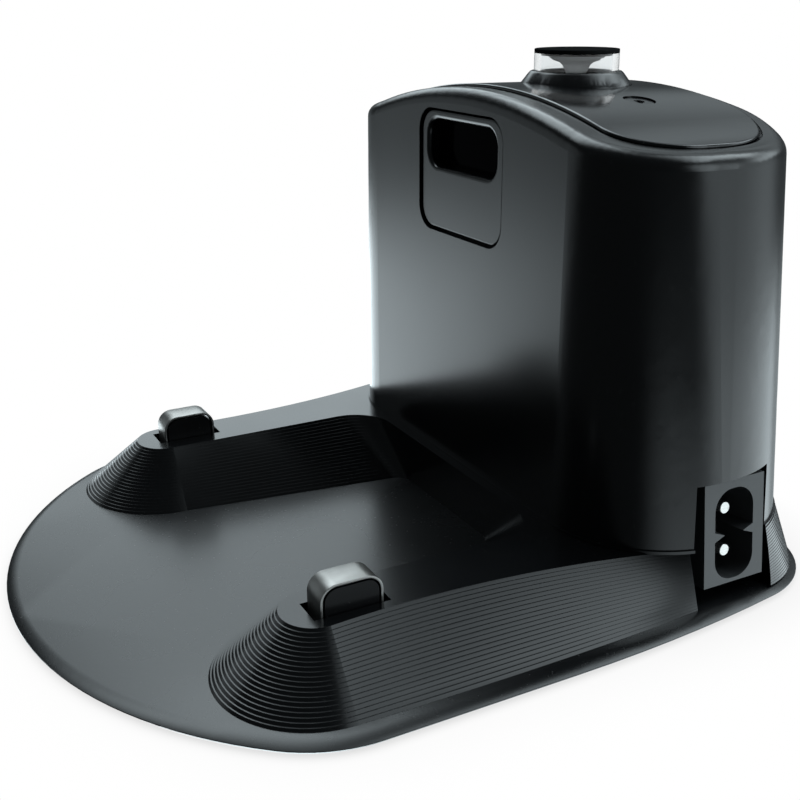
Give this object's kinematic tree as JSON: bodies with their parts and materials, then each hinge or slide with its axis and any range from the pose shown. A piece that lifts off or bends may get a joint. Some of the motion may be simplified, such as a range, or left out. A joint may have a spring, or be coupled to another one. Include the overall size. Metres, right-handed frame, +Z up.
{
  "type": "robot vacuum charging dock",
  "caption": "Low black charging dock for a robot vacuum: rounded floor plate, ribbed arms with sprung contacts, and a wave-topped tower with a beacon lens and mains inlet.",
  "frame": {"origin": "middle of the dock's outline, on the floor under the foot pads", "axes": "+Z up, -Y towards the robot, +Y towards the wall behind the tower, +X towards the mains inlet"},
  "size_m": [0.132, 0.1512, 0.1006],
  "materials": {
    "housing_plastic": "satin black moulding with fine stepped ribs",
    "plate_plastic": "satin black moulding with a fine grain",
    "tower_plastic": "satin black moulding",
    "panel_plastic": "semi-gloss black",
    "trim_plastic": "satin black",
    "clear_lens": "clear, polished",
    "reflector_plastic": "grey moulding",
    "indicator_plastic": "semi-gloss dark moulding",
    "clear_plastic": "clear, moulded",
    "dark_window": "near-black, passes infra-red",
    "contact_plastic": "satin black",
    "contact_plating": "nickel plated strip",
    "spring_steel": "drawn spring wire",
    "terminal_brass": "stamped brass",
    "inlet_plastic": "matt black moulding",
    "pin_plating": "nickel plated, bright",
    "circuit_board": "green solder resist",
    "ferrite": "sintered, dull",
    "winding_tape": "yellow tape",
    "capacitor_can": "sleeved can",
    "connector_plastic": "white moulding",
    "lead_sheath": "soft sheath",
    "foot_rubber": "matt",
    "screw_steel": "zinc plated"
  },
  "bodies": {
    "dock": {"arm_housing": "housing_plastic", "base_plate": "plate_plastic", "tower_shell": "tower_plastic", "top_panel": "panel_plastic", "beacon_cap": "trim_plastic", "lens_collar": "trim_plastic", "emitter_bezel": "trim_plastic", "beacon_lens": "clear_lens", "beacon_reflector": "reflector_plastic", "indicator_disc": "indicator_plastic", "light_pipe": "clear_plastic", "beacon_led": "clear_plastic", "indicator_led": "clear_plastic", "front_emitters": "clear_plastic", "ir_window": "dark_window", "contact_spring_left": "spring_steel", "contact_spring_right": "spring_steel", "contact_terminal_left": "terminal_brass", "contact_terminal_right": "terminal_brass", "inlet_socket": "inlet_plastic", "inlet_pins": "pin_plating", "power_board": "circuit_board", "signal_board": "circuit_board", "emitter_board": "circuit_board", "transformer_core": "ferrite", "transformer_winding": "winding_tape", "capacitors": "capacitor_can", "board_connectors": "connector_plastic", "contact_leads": "lead_sheath", "mains_leads": "lead_sheath", "signal_leads": "lead_sheath", "foot_pads": "foot_rubber", "housing_screws": "screw_steel"},
    "contact_left": {"contact_block_left": "contact_plastic", "contact_strap_left": "contact_plating"},
    "contact_right": {"contact_block_right": "contact_plastic", "contact_strap_right": "contact_plating"}
  },
  "joints": [
    {"name": "contact_left_press", "type": "slide", "parent": "dock", "child": "contact_left", "axis": [0, 0, -1], "range_m": [0, 0.003], "stiffness_N_per_m": 300, "springref_m": -0.0015, "deforming": ["contact_spring_left"]},
    {"name": "contact_right_press", "type": "slide", "parent": "dock", "child": "contact_right", "axis": [0, 0, -1], "range_m": [0, 0.003], "stiffness_N_per_m": 300, "springref_m": -0.0015, "deforming": ["contact_spring_right"]}
  ]
}
